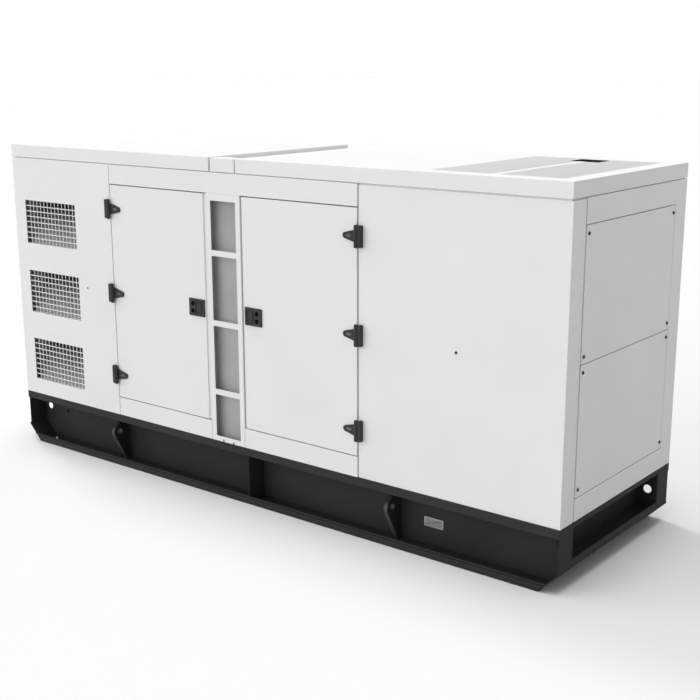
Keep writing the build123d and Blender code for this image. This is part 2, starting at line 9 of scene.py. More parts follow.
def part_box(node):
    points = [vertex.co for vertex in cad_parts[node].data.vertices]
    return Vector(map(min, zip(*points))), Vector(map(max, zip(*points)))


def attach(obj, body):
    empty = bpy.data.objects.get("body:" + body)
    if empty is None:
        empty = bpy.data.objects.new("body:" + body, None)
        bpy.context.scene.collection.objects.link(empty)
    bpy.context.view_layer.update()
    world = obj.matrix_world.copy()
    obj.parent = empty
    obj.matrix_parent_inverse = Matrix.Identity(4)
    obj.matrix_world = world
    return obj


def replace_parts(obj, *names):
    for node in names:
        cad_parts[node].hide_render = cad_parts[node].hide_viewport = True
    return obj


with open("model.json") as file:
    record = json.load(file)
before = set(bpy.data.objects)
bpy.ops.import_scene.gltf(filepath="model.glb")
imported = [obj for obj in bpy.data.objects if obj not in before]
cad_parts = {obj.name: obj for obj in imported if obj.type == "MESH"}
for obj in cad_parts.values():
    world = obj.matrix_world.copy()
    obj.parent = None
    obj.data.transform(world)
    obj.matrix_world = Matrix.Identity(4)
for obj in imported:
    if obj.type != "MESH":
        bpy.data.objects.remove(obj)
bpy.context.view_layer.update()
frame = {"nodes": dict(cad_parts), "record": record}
nodes = frame["nodes"]

# Skid: two long beams folded and welded from 8 mm steel plate, closed by cross channels and a
# deck, blasted and coated in satin black powder. It stands straight on the floor on its bottom
# flanges, and a little pale dust lies on its upward faces.


def soften_edges(node, width, segments=2):
    """Small rounded edges on a rigid node, as a press brake or a coat of paint leaves them."""
    piece = nodes[node]
    weld = piece.modifiers.new("join_triangles", "WELD")
    weld.merge_threshold = 0.00001
    flat = piece.modifiers.new("join_flats", "DECIMATE")
    flat.decimate_type = "DISSOLVE"
    flat.angle_limit = math.radians(1.0)
    bevel = piece.modifiers.new("rounded_edges", "BEVEL")
    bevel.width = width
    bevel.segments = segments
    bevel.limit_method = "ANGLE"
    bevel.angle_limit = math.radians(40)
    bevel.use_clamp_overlap = True
    shade = piece.modifiers.new("even_shading", "WEIGHTED_NORMAL")
    shade.keep_sharp = False
    shade.weight = 100


def paint_node(node, material):
    """One finish on a whole node."""
    mesh = nodes[node].data
    mesh.materials.clear()
    mesh.materials.append(material)


def link(tree, source, socket, target, name):
    """One wire between two shader nodes."""
    tree.links.new(source.outputs[socket], target.inputs[name])


def new_material(name):
    """A material with its node tree and its main shader."""
    material = bpy.data.materials.new(name)
    material.use_nodes = True
    tree = material.node_tree
    return material, tree, tree.nodes["Principled BSDF"]


def noise(tree, where, scale, detail, roughness=0.5):
    """A noise texture on the piece's own coordinates."""
    texture = tree.nodes.new("ShaderNodeTexNoise")
    texture.inputs["Scale"].default_value = scale
    texture.inputs["Detail"].default_value = detail
    texture.inputs["Roughness"].default_value = roughness
    link(tree, where, "Object", texture, "Vector")
    return texture


def blend_colours(tree, texture, low, high, dark, light):
    """A soft change between two shades along a texture."""
    ramp = tree.nodes.new("ShaderNodeValToRGB")
    ramp.color_ramp.elements[0].position = low
    ramp.color_ramp.elements[1].position = high
    ramp.color_ramp.elements[0].color = (*dark, 1)
    ramp.color_ramp.elements[1].color = (*light, 1)
    link(tree, texture, 0, ramp, "Fac")
    return ramp


def blend_values(tree, source, low, high, start=0.0, end=1.0):
    """A value that goes from low to high while a (node, socket) pair goes from start to end."""
    spread = tree.nodes.new("ShaderNodeMapRange")
    spread.inputs["From Min"].default_value = start
    spread.inputs["From Max"].default_value = end
    spread.inputs["To Min"].default_value = low
    spread.inputs["To Max"].default_value = high
    link(tree, *source, spread, "Value")
    return (spread, "Result")


def arithmetic(tree, operation, *terms):
    """One step of arithmetic on numbers and (node, socket) pairs, which gives such a pair."""
    step = tree.nodes.new("ShaderNodeMath")
    step.operation = operation
    for place, term in enumerate(terms):
        if isinstance(term, tuple):
            link(tree, *term, step, place)
        else:
            step.inputs[place].default_value = term
    return (step, 0)


def lean(tree, source, way):
    """How far a direction, given as a (node, socket) pair, leans one way."""
    product = tree.nodes.new("ShaderNodeVectorMath")
    product.operation = "DOT_PRODUCT"
    product.inputs[1].default_value = way
    link(tree, *source, product, 0)
    return (product, "Value")


def emboss(tree, texture, strength, depth):
    """Fine relief from a texture, over any relief that the shader already has."""
    shader = tree.nodes["Principled BSDF"]
    bump = tree.nodes.new("ShaderNodeBump")
    bump.inputs["Strength"].default_value = strength
    bump.inputs["Distance"].default_value = depth
    link(tree, texture, 0, bump, "Height")
    for earlier in shader.inputs["Normal"].links:
        tree.links.new(earlier.from_socket, bump.inputs["Normal"])
    link(tree, bump, "Normal", shader, "Normal")


def second_colour(tree, mask):
    """The socket of a colour that shows over the shader's own as far as a mask lets it."""
    shader = tree.nodes["Principled BSDF"]
    layers = tree.nodes.new("ShaderNodeMix")
    layers.data_type = "RGBA"
    link(tree, *mask, layers, 0)
    tree.links.new(shader.inputs["Base Color"].links[0].from_socket, layers.inputs["A"])
    link(tree, layers, "Result", shader, "Base Color")
    return layers.inputs["B"]


def grey(value):
    """A neutral grey as a colour."""
    return (value, value, value)


def sprayed_coat(name, dark, light, gloss_low, gloss_high, peel_scale, peel_depth):
    """A sprayed or baked coat: cloudy shade, uneven gloss and a fine skin like orange peel."""
    material, tree, shader = new_material(name)
    where = tree.nodes.new("ShaderNodeTexCoord")
    clouds = noise(tree, where, 2.3, 5.0)
    shade = blend_colours(tree, clouds, 0.3, 0.7, dark, light)
    link(tree, shade, "Color", shader, "Base Color")
    patches = noise(tree, where, 9.0, 4.0)
    gloss = blend_values(tree, (patches, 0), gloss_low, gloss_high)
    link(tree, *gloss, shader, "Roughness")
    emboss(tree, noise(tree, where, peel_scale, 2.0), 0.35, peel_depth)
    return material


def set_specular(material, level):
    """How strongly a finish mirrors its surroundings."""
    material.node_tree.nodes["Principled BSDF"].inputs["Specular IOR Level"].default_value = level


def fade_faces(material, way, shade, amount):
    """An uneven second shade on the faces that look one way, used for dust and for a painted highlight with
    wear.
    """
    tree = material.node_tree
    where = tree.nodes.new("ShaderNodeTexCoord")
    exposed = blend_values(tree, lean(tree, (where, "Normal"), way), 0.0, amount, 0.6, 1.0)
    drift = noise(tree, where, 14.0, 6.0, 0.65)
    cover = arithmetic(tree, "MULTIPLY", exposed, (drift, 0))
    second_colour(tree, cover).default_value = (*shade, 1)


def skid_coat(name, dark, light):
    """The skid's dull powder coat between two greys."""
    coat = sprayed_coat(name, grey(dark), grey(light), 0.62, 0.78, 260.0, 0.0004)
    set_specular(coat, 0.2)
    return coat


upward = (0, 0, 1)
skid_dust, skid_dust_amount = (0.10, 0.098, 0.095), 0.2
plate_edge = 0.0025
skid_black = skid_coat("skid_black_coat", 0.017, 0.023)
# The second, lighter copy of the black coat is painted light: on the webs, top rails and sill bars it stands
# in for the light that reaches them.
skid_painted_light = skid_coat("skid_painted_light_coat", 0.024, 0.033)
for coat in (skid_black, skid_painted_light):
    fade_faces(coat, upward, skid_dust, skid_dust_amount)
for side in ("front", "rear"):
    for name, coat in (
        ("web", skid_painted_light), ("top_rail", skid_painted_light), ("bottom_rail", skid_black),
        ("stiffeners", skid_black),
    ):
        soften_edges(f"{side}_{name}", plate_edge)
        paint_node(f"{side}_{name}", coat)
for name in ("right_cross_channel", "left_cross_channel", "deck_plate"):
    soften_edges(name, plate_edge)
    paint_node(name, skid_black)

# Lifting lugs: burnt from thick plate and welded across the beams. Their outer edges carry a pale grey
# that is partly wear from slings and hooks and partly a painted highlight for the light those edges catch.
lug_highlight_and_wear, lug_highlight_and_wear_amount = grey(0.14), 1.0
for side, way in (("front", -1), ("rear", 1)):
    lug_coat = skid_coat(f"{side}_lug_coat", 0.017, 0.023)
    # Pale grey on the faces that look outward: a painted highlight together with wear.
    fade_faces(lug_coat, (0, way, 0), lug_highlight_and_wear, lug_highlight_and_wear_amount)
    soften_edges(f"{side}_lifting_lugs", plate_edge)
    paint_node(f"{side}_lifting_lugs", lug_coat)

# Weld beads: a welder's run of overlapping ripples where each lug stands on the web and on the bottom
# flange, and where the beams' end plates stand on the sled ends. They are coated with the skid.


def weld_bead(build, start, end, radius, ripple):
    """One rippled bead along a straight corner: rings that swell and shrink, drawn along the run."""
    start, end = Vector(start), Vector(end)
    run = end - start
    steps = max(4, round(run.length / ripple))
    turn = Vector((0, 0, 1)).rotation_difference(run).to_matrix()
    ring = bmesh.ops.create_circle(build, segments=6, radius=radius, cap_ends=True)["verts"]
    bmesh.ops.rotate(build, verts=ring, cent=(0, 0, 0), matrix=turn)
    bmesh.ops.translate(build, verts=ring, vec=start)
    edges = list({edge for vert in ring for edge in vert.link_edges})
    for step in range(1, steps + 1):
        made = bmesh.ops.extrude_edge_only(build, edges=edges)["geom"]
        ring = [item for item in made if isinstance(item, bmesh.types.BMVert)]
        edges = [item for item in made if isinstance(item, bmesh.types.BMEdge)]
        centre = start + run * (step - 1) / steps
        swell = 1.25 if step % 2 else 0.8
        bmesh.ops.scale(build, verts=ring, vec=(swell, swell, swell), space=Matrix.Translation(-centre))
        bmesh.ops.translate(build, verts=ring, vec=run / steps)
    bmesh.ops.contextual_create(build, geom=edges)


def set_piece(build, name, material, body):
    """Turns a finished bmesh into a piece that rides on a body, smooth but for its sharp edges."""
    bmesh.ops.recalc_face_normals(build, faces=build.faces)
    mesh = bpy.data.meshes.new(name)
    for face in build.faces:
        face.smooth = True
    build.to_mesh(mesh)
    build.free()
    mesh.set_sharp_from_angle(angle=math.radians(35))
    mesh.materials.append(material)
    piece = bpy.data.objects.new(name, mesh)
    bpy.context.scene.collection.objects.link(piece)
    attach(piece, body)
    return piece


lug_plate, foot_run, end_gap = 0.025, 0.032, 0.004
bead_radius, bead_ripple = 0.0045, 0.005
rail_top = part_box("front_bottom_rail")[1]
end_weld_x, end_weld_z = rail_top.x - end_gap, rail_top.z
for side, way in (("front", 1), ("rear", -1)):
    web_low, web_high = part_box(f"{side}_web")
    lug_low, lug_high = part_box(f"{side}_lifting_lugs")
    end_low, end_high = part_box(f"{side}_stiffeners")
    face_y = web_low.y if side == "front" else web_high.y
    runs = []
    for x in (lug_low.x, lug_low.x + lug_plate, lug_high.x - lug_plate, lug_high.x):
        runs.append(((x, face_y, lug_low.z + end_gap), (x, face_y, lug_high.z - end_gap)))
        runs.append(((x, face_y, lug_low.z), (x, face_y - way * foot_run, lug_low.z)))
    for x in (-end_weld_x, end_weld_x):
        runs.append(((x, end_low.y, end_weld_z), (x, end_high.y, end_weld_z)))
    beads = bmesh.new()
    for start, end in runs:
        weld_bead(beads, start, end, bead_radius, bead_ripple)
    set_piece(beads, f"{side}_skid_welds", skid_black, "canopy")

# Sill bars: a flat bar welded on the outside of each bottom lip, and a thin one along the lip's top
# edge, so that a dark slot runs between them. They end along the slope of the sled ends.


def add_shape(build, shape):
    """Adds a finished bmesh to the one that a piece is built in."""
    carrier = bpy.data.meshes.new("carrier")
    shape.to_mesh(carrier)
    shape.free()
    build.from_mesh(carrier)
    bpy.data.meshes.remove(carrier)


sill_face, sill_thickness, sill_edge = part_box("front_bottom_rail")[0].y, 0.004, 0.0012
sill_half, sill_slope = 1.997, 108 / 107
sill_rows = ((0.005, 0.038, 0.010), (0.043, 0.050, 0.0))
for side, way in (("front", -1), ("rear", 1)):
    bars = bmesh.new()
    for z0, z1, indent in sill_rows:
        bar = bmesh.new()
        ends = [sill_half - indent + sill_slope * z for z in (z0, z1)]
        outline = ((-ends[0], z0), (ends[0], z0), (ends[1], z1), (-ends[1], z1))
        face = bar.faces.new([bar.verts.new((x, -way * sill_face, z)) for x, z in outline])
        solid = bmesh.ops.extrude_face_region(bar, geom=[face])["geom"]
        lifted = [item for item in solid if isinstance(item, bmesh.types.BMVert)]
        bmesh.ops.translate(bar, verts=lifted, vec=(0, way * sill_thickness, 0))
        bmesh.ops.bevel(
            bar, geom=list(bar.edges), offset=sill_edge, affect="EDGES", segments=2, profile=0.5, material=-1,
        )
        add_shape(bars, bar)
    # The bars take the lighter copy of the skid coat, painted light that makes the lip's top edge read as
    # lit.
    set_piece(bars, f"{side}_sill_bars", skid_painted_light, "canopy")

# Drain plugs: one zinc-plated steel plug with a washer, screwed into the bottom flange near the left
# end of each beam.


def turned(build, outline, place, axis, steps=16, stretch=(1, 1, 1)):
    """A turned shape: an outline of (radius, height) pairs spun about an axis from a place."""
    shape = bmesh.new()
    ring = [shape.verts.new((radius, 0, height)) for radius, height in outline]
    line = [shape.edges.new(pair) for pair in zip(ring, ring[1:])]
    bmesh.ops.spin(
        shape, geom=ring + line, cent=(0, 0, 0), axis=upward, angle=math.tau, steps=steps, use_merge=True,
    )
    bmesh.ops.remove_doubles(shape, verts=shape.verts, dist=0.000001)
    turn = Vector((0, 0, 1)).rotation_difference(Vector(axis)).to_matrix()
    bmesh.ops.rotate(shape, verts=shape.verts, cent=(0, 0, 0), matrix=turn)
    bmesh.ops.scale(shape, verts=shape.verts, vec=stretch)
    bmesh.ops.translate(shape, verts=shape.verts, vec=place)
    add_shape(build, shape)


def brushed_metal(name, colour, rough_low, rough_high, stretch):
    """Bare metal with fine straight scratches along one direction."""
    material, tree, shader = new_material(name)
    shader.inputs["Metallic"].default_value = 1.0
    where = tree.nodes.new("ShaderNodeTexCoord")
    draw = tree.nodes.new("ShaderNodeMapping")
    draw.inputs["Scale"].default_value = stretch
    link(tree, where, "Object", draw, "Vector")
    lines = tree.nodes.new("ShaderNodeTexNoise")
    lines.inputs["Scale"].default_value = 40.0
    lines.inputs["Detail"].default_value = 6.0
    link(tree, draw, "Vector", lines, "Vector")
    shade = blend_colours(tree, lines, 0.25, 0.75, [part * 0.8 for part in colour], colour)
    link(tree, shade, "Color", shader, "Base Color")
    gloss = blend_values(tree, (lines, 0), rough_low, rough_high)
    link(tree, *gloss, shader, "Roughness")
    emboss(tree, lines, 0.2, 0.0003)
    return material


plug_zinc = brushed_metal("plug_zinc", (0.85, 0.85, 0.83), 0.42, 0.58, (6.0, 6.0, 6.0))
plug_outline = [
    (0, 0), (0.013, 0), (0.013, 0.002), (0.009, 0.002), (0.009, 0.010), (0.007, 0.012), (0, 0.012),
]
plug_x, plug_y, flange_top = -1.935, 0.557, 0.008
plugs = bmesh.new()
for y in (-plug_y, plug_y):
    turned(plugs, plug_outline, (plug_x, y, flange_top), upward, 12)
set_piece(plugs, "skid_drain_plugs", plug_zinc, "canopy")

# Rating plate: a blank stamped aluminium plate with a bright raised border round a dull etched field,
# held on the beam's web by four dome rivets.
plate_metal = brushed_metal("plate_aluminium", (0.50, 0.50, 0.51), 0.38, 0.55, (1.0, 1.0, 14.0))
plate_field = brushed_metal("plate_etched_field", (0.36, 0.36, 0.37), 0.45, 0.62, (1.0, 1.0, 14.0))
plate_low, plate_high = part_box("rating_plate")
plate_size, plate_middle = plate_high - plate_low, (plate_low + plate_high) / 2
plate_corner, plate_border, field_sink, rivet_inset = 0.006, 0.007, 0.0012, 0.010
plate = bmesh.new()
made = bmesh.ops.create_grid(plate, x_segments=1, y_segments=1, size=0.5)["verts"]
bmesh.ops.scale(plate, verts=made, vec=(plate_size.x, plate_size.z, 1))
bmesh.ops.bevel(
    plate, geom=made, offset=plate_corner, affect="VERTICES", segments=4, profile=0.5, material=-1,
)
solid = bmesh.ops.extrude_face_region(plate, geom=list(plate.faces))["geom"]
lifted = [item for item in solid if isinstance(item, bmesh.types.BMVert)]
bmesh.ops.translate(plate, verts=lifted, vec=(0, 0, plate_size.y))
top = [item for item in solid if isinstance(item, bmesh.types.BMFace)]
bmesh.ops.inset_region(plate, faces=top, thickness=plate_border, depth=0)
bmesh.ops.inset_region(plate, faces=top, thickness=field_sink, depth=-field_sink)
for face in top:
    face.material_index = 1
bmesh.ops.rotate(plate, verts=plate.verts, cent=(0, 0, 0), matrix=Matrix.Rotation(math.radians(90), 3, "X"))
bmesh.ops.translate(plate, verts=plate.verts, vec=(plate_middle.x, plate_high.y, plate_middle.z))
rivet_outline = [(0, 0), (0.0042, 0), (0.0040, 0.0012), (0.0026, 0.0024), (0, 0.0028)]
for x in (plate_low.x + rivet_inset, plate_high.x - rivet_inset):
    for z in (plate_low.z + rivet_inset, plate_high.z - rivet_inset):
        turned(plate, rivet_outline, (x, plate_low.y + field_sink, z), (0, -1, 0))
plate_piece = set_piece(plate, "rating_plate_blank", plate_metal, "canopy")
plate_piece.data.materials.append(plate_field)
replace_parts(plate_piece, "rating_plate")

# Canopy walls: folded sheet-steel cassettes, powder coated in plain white and bolted together on the
# skid. Their folded edges leave narrow shaded seams where two cassettes meet.


def white_coat(name):
    """The canopy's plain white powder coat."""
    return sprayed_coat(name, grey(0.79), grey(0.82), 0.36, 0.48, 340.0, 0.0003)


sheet_edge = 0.002
canopy_white = white_coat("canopy_white_coat")
for name in (
    "front_left_panel", "front_right_panel", "front_door_surround", "rear_panels", "rear_door_surround",
    "right_end_frame", "left_end_frame",
):
    soften_edges(name, sheet_edge)
    paint_node(name, canopy_white)

# Wall studs: one stud in each plain part of the long walls, the right-hand one under a small black
# cap that is pushed on by hand, the left-hand one bare zinc.
cap_black = sprayed_coat("cap_black_plastic", grey(0.014), grey(0.022), 0.42, 0.56, 700.0, 0.0003)
cap_outline = [
    (0, 0), (0.0080, 0), (0.0080, 0.0018), (0.0066, 0.0036), (0.0034, 0.0042), (0.0030, 0.0026), (0, 0.0026),
]
cap_x, cap_z = 1.475, 1.165
stud_x, stud_z, stud_stretch = -1.391, 1.169, (0.7, 1, 0.9)
stud_grey = sprayed_coat("stud_grey_zinc", grey(0.26), grey(0.32), 0.40, 0.55, 700.0, 0.0003)
wall_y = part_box("front_right_panel")[0].y
left_walls = (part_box("front_left_panel")[0].y, -1), (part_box("rear_panels")[1].y, 1)
caps, bare_studs = bmesh.new(), bmesh.new()
for face, way in ((wall_y, -1), (-wall_y, 1)):
    turned(caps, cap_outline, (cap_x, face, cap_z), (0, way, 0))
for face, way in left_walls:
    turned(bare_studs, cap_outline, (stud_x, face, stud_z), (0, way, 0), 16, stud_stretch)
set_piece(caps, "wall_stud_caps", cap_black, "canopy")
set_piece(bare_studs, "wall_studs_bare", stud_grey, "canopy")

# Pillars: hollow sheet posts between the doors, open like a ladder in front and white as the walls.
# Inside, a grey is painted on them as shade, and two small notches at the foot let water out.


def split_axes(tree, where):
    """The three parts of a point's place on the piece."""
    parts = tree.nodes.new("ShaderNodeSeparateXYZ")
    link(tree, where, "Object", parts, "Vector")
    return parts


pillar_coat = white_coat("pillar_white_coat")
post_low, post_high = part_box("front_pillar")
pillar_edge, coat_end, recess_shade_start, coat_side = 0.0012, 0.0035, 0.0050, 0.003
post_middle, post_half = (post_low.x + post_high.x) / 2, (post_high.x - post_low.x) / 2
tree = pillar_coat.node_tree
where = tree.nodes.new("ShaderNodeTexCoord")
place = split_axes(tree, where)
depth = arithmetic(tree, "ABSOLUTE", (place, "Y"))
inside = blend_values(tree, depth, 1.0, 0.0, -post_low.y - recess_shade_start, -post_low.y - coat_end)
sideways = arithmetic(tree, "ABSOLUTE", arithmetic(tree, "SUBTRACT", (place, "X"), post_middle))
between = arithmetic(tree, "LESS_THAN", sideways, post_half - coat_side)
hollow = arithmetic(tree, "MULTIPLY", inside, between)
# The grey inside the hollow is painted shade: it darkens the deep part of the post where shade falls.
recess_shade_grey = blend_colours(tree, noise(tree, where, 6.0, 4.0), 0.3, 0.7, grey(0.36), grey(0.41))
tree.links.new(recess_shade_grey.outputs["Color"], second_colour(tree, hollow))
for name in ("front_pillar", "rear_pillar"):
    soften_edges(name, pillar_edge)
    paint_node(name, pillar_coat)

# Joint beads: grey sealant run into the joint on each side of a pillar's foot, below the doors. It is
# smoothed by hand and stands a little proud of the sheet.


def rounded_block(build, low, high, edge, segments=2):
    """A block between two corners with rounded edges."""
    low, high = Vector(low), Vector(high)
    made = bmesh.ops.create_cube(build, size=1)["verts"]
    bmesh.ops.scale(build, verts=made, vec=high - low)
    bmesh.ops.translate(build, verts=made, vec=(low + high) / 2)
    edges = list({line for vert in made for line in vert.link_edges})
    bmesh.ops.bevel(
        build, geom=edges, offset=edge, affect="EDGES", segments=segments, profile=0.5, material=-1,
    )


sealant_grey = sprayed_coat("joint_sealant", grey(0.46), grey(0.54), 0.55, 0.70, 500.0, 0.0003)
bead_half, bead_rise, bead_gap, bead_edge = 0.0018, 0.0006, 0.002, 0.0002
bead_foot, bead_top = post_low.z + bead_gap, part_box("front_left_door")[0].z - bead_gap
sealed = bmesh.new()
for x in (post_low.x, post_high.x):
    for face, way in ((post_low.y, -1), (-post_low.y, 1)):
        y0, y1 = sorted((face, face + way * bead_rise))
        rounded_block(sealed, (x - bead_half, y0, bead_foot), (x + bead_half, y1, bead_top), bead_edge)
set_piece(sealed, "pillar_joint_beads", sealant_grey, "canopy")

# Air intakes: white welded bar grilles in the left-hand panels. Sloped baffles behind them are faced with
# dark sound-damping board, painted paler near the grille as light coming in. A grey cheek board at their left
# ends is painted shade.
grille_edge, baffle_edge = 0.0015, 0.001
for name in ("front_grilles", "rear_grilles"):
    soften_edges(name, grille_edge)
    paint_node(name, canopy_white)


def pressed_board(name, dark, light):
    """Pressed mineral board with a dull felted face."""
    material, tree, shader = new_material(name)
    shader.inputs["Roughness"].default_value = 0.95
    set_specular(material, 0.2)
    where = tree.nodes.new("ShaderNodeTexCoord")
    fibres = noise(tree, where, 420.0, 6.0, 0.7)
    shade = blend_colours(tree, fibres, 0.3, 0.7, dark, light)
    link(tree, shade, "Color", shader, "Base Color")
    emboss(tree, fibres, 0.6, 0.0012)
    return material


baffle_low, baffle_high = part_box("intake_baffles")
baffle_board = pressed_board("baffle_black_board", grey(0.026), grey(0.048))
painted_light_run, painted_light_amount = 0.110, 0.9
tree = baffle_board.node_tree
where = tree.nodes.new("ShaderNodeTexCoord")
depth = arithmetic(tree, "ABSOLUTE", (split_axes(tree, where), "Y"))
# The paler foot near the grille is painted light, for the light that comes in through the bars.
foot = blend_values(tree, depth, 0.0, painted_light_amount, baffle_high.y - painted_light_run, baffle_high.y)
painted_light_grey = blend_colours(tree, noise(tree, where, 30.0, 5.0), 0.3, 0.7, grey(0.35), grey(0.44))
tree.links.new(painted_light_grey.outputs["Color"], second_colour(tree, foot))
soften_edges("intake_baffles", baffle_edge)
paint_node("intake_baffles", baffle_board)
# The grey cheek board is painted shade: it hides the white end of the cavity where the shade falls.
cheek_shade_board = pressed_board("cheek_painted_shade_board", grey(0.22), grey(0.29))
cheek_gap, cheek_thickness, cheek_inner, cheek_edge = 0.001, 0.006, 0.480, 0.001
cheek_x1 = baffle_low.x - cheek_gap
cheek_x0 = cheek_x1 - cheek_thickness
cheeks = bmesh.new()
for y0, y1 in ((baffle_low.y, -cheek_inner), (cheek_inner, baffle_high.y)):
    rounded_block(cheeks, (cheek_x0, y0, baffle_low.z), (cheek_x1, y1, baffle_high.z), cheek_edge)
set_piece(cheeks, "intake_cheek_boards", cheek_shade_board, "canopy")

# End panels: two removable white panels at each end, held at their corners by black button screws on
# rubber washers.
for name in ("right_end_panels", "left_end_panels"):
    soften_edges(name, sheet_edge)
    paint_node(name, canopy_white)
screw_outline = [
    (0, 0), (0.0105, 0), (0.0105, 0.0015), (0.0080, 0.0020), (0.0076, 0.0042), (0.0052, 0.0062),
    (0.0034, 0.0066), (0.0030, 0.0036), (0, 0.0034),
]
screw_side, screw_end = 0.022, 0.040
for node, way in (("right_end_panels", 1), ("left_end_panels", -1)):
    low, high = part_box(node)
    middle = (low.z + high.z) / 2
    screws = bmesh.new()
    for y in (low.y + screw_side, high.y - screw_side):
        for z in (low.z + screw_end, middle - screw_end, middle + screw_end, high.z - screw_end):
            turned(screws, screw_outline, (high.x if way > 0 else low.x, y, z), (way, 0, 0))
    set_piece(screws, f"{node}_screws", cap_black, "canopy")

# Doors: white cassettes like the walls, hung on black hinges. Inside, each has two dark lining boards
# held by pressed washers, and a black rubber seal glued round its edge.
for name in ("front_left_door", "front_right_door", "rear_doors"):
    soften_edges(name, sheet_edge)
    paint_node(name, canopy_white)


def upright_ring(build, low, high, band, y0, y1, edge):
    """A flat ring that stands in a wall, a band wide, from y0 to y1 with rounded edges."""
    made = bmesh.ops.create_grid(build, x_segments=1, y_segments=1, size=0.5)["verts"]
    bmesh.ops.scale(build, verts=made, vec=(high.x - low.x, high.z - low.z, 1))
    middle = list(build.faces)
    bmesh.ops.inset_region(build, faces=middle, thickness=band, use_boundary=True, use_even_offset=True)
    bmesh.ops.delete(build, geom=middle, context="FACES")
    solid = bmesh.ops.extrude_face_region(build, geom=list(build.faces))["geom"]
    lifted = [item for item in solid if isinstance(item, bmesh.types.BMVert)]
    bmesh.ops.translate(build, verts=lifted, vec=(0, 0, y0 - y1))
    upright = Matrix.Rotation(math.radians(-90), 3, "X")
    bmesh.ops.rotate(build, verts=build.verts, cent=(0, 0, 0), matrix=upright)
    place = ((low.x + high.x) / 2, y1, (low.z + high.z) / 2)
    bmesh.ops.translate(build, verts=build.verts, vec=place)
    bmesh.ops.bevel(
        build, geom=list(build.edges), offset=edge, affect="EDGES", segments=2, profile=0.5, material=-1,
    )


board_black = pressed_board("door_black_board", grey(0.020), grey(0.042))
washer_zinc = brushed_metal("washer_zinc", (0.56, 0.56, 0.54), 0.30, 0.45, (6.0, 6.0, 6.0))
washer_outline = [(0, 0), (0.017, 0), (0.017, 0.001), (0.009, 0.0022), (0.004, 0.0012), (0, 0.0012)]
seal_rubber = sprayed_coat("seal_black_rubber", grey(0.010), grey(0.018), 0.55, 0.75, 500.0, 0.0006)
board_margin, board_thickness, board_joint, board_edge = 0.058, 0.022, 0.012, 0.006
washer_x_shares, washer_z_shares = (0.1, 0.5, 0.9), (0.12, 0.5, 0.88)
seal_inset, seal_band, seal_thickness, seal_edge = 0.014, 0.022, 0.012, 0.004
rear_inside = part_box("rear_doors")[0].y
for front_node, front_body in (("front_left_door", "left_door"), ("front_right_door", "right_door")):
    low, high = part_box(front_node)
    for title, body, inner, way in (
        (front_body, front_body, high.y, 1), (f"rear_{front_body}", "canopy", rear_inside, -1),
    ):
        boards, washers = bmesh.new(), bmesh.new()
        split = (low.z + high.z) / 2
        x0, x1 = low.x + board_margin, high.x - board_margin
        face = inner + way * board_thickness
        for z0, z1 in (
            (low.z + board_margin, split - board_joint / 2), (split + board_joint / 2, high.z - board_margin),
        ):
            rounded_block(boards, (x0, min(inner, face), z0), (x1, max(inner, face), z1), board_edge, 3)
            for x_share in washer_x_shares:
                for z_share in washer_z_shares:
                    place = (x0 + (x1 - x0) * x_share, face, z0 + (z1 - z0) * z_share)
                    turned(washers, washer_outline, place, (0, way, 0))
        set_piece(boards, f"{title}_lining", board_black, body)
        set_piece(washers, f"{title}_lining_washers", washer_zinc, body)
    seal = bmesh.new()
    inset = Vector((seal_inset, 0, seal_inset))
    upright_ring(seal, low + inset, high - inset, seal_band, high.y, high.y + seal_thickness, seal_edge)
    set_piece(seal, f"{front_body}_seal", seal_rubber, front_body)

# Hinges: zinc castings with a textured black coat, a leaf on the wall and a tapered tongue on the door
# about one pin. Each tongue has a smooth oval boss over its screw, and each pin a rounded head.
cast_black = sprayed_coat("cast_black_coat", grey(0.029), grey(0.038), 0.55, 0.72, 900.0, 0.0005)
set_specular(cast_black, 0.3)
hinge_edge = 0.0022
for name in ("front_hinge_leaves", "front_left_tongues", "front_right_tongues", "rear_hinges"):
    soften_edges(name, hinge_edge, 3)
    paint_node(name, cast_black)
# The bosses are coated a paler grey than the castings.
boss_grey = sprayed_coat("boss_pale_coat", grey(0.080), grey(0.125), 0.40, 0.55, 600.0, 0.0003)
boss_outline = [(0, 0), (0.0085, 0), (0.0080, 0.0012), (0.0058, 0.0020), (0, 0.0023)]
pin_outline = [(0, 0), (0.0085, 0), (0.0085, 0.0012), (0.0066, 0.0030), (0.0034, 0.0040), (0, 0.0042)]
leaf_screw_outline = [
    (0, 0), (0.0046, 0), (0.0042, 0.0012), (0.0018, 0.0018), (0.0015, 0.0008), (0, 0.0008),
]
boss_reach, boss_stretch = 0.056, (2.2, 1, 1)
tongue_thickness, leaf_rise = 0.009, 0.004
leaf_screw_reach, leaf_screw_rise = 0.0225, 0.034
leaf_low, leaf_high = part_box("front_hinge_leaves")
hinge_half = 0.059
hinge_levels = (leaf_low.z + hinge_half, (leaf_low.z + leaf_high.z) / 2, leaf_high.z - hinge_half)
fixings = bmesh.new()
bosses = {"left_door": bmesh.new(), "right_door": bmesh.new(), "canopy": bmesh.new()}
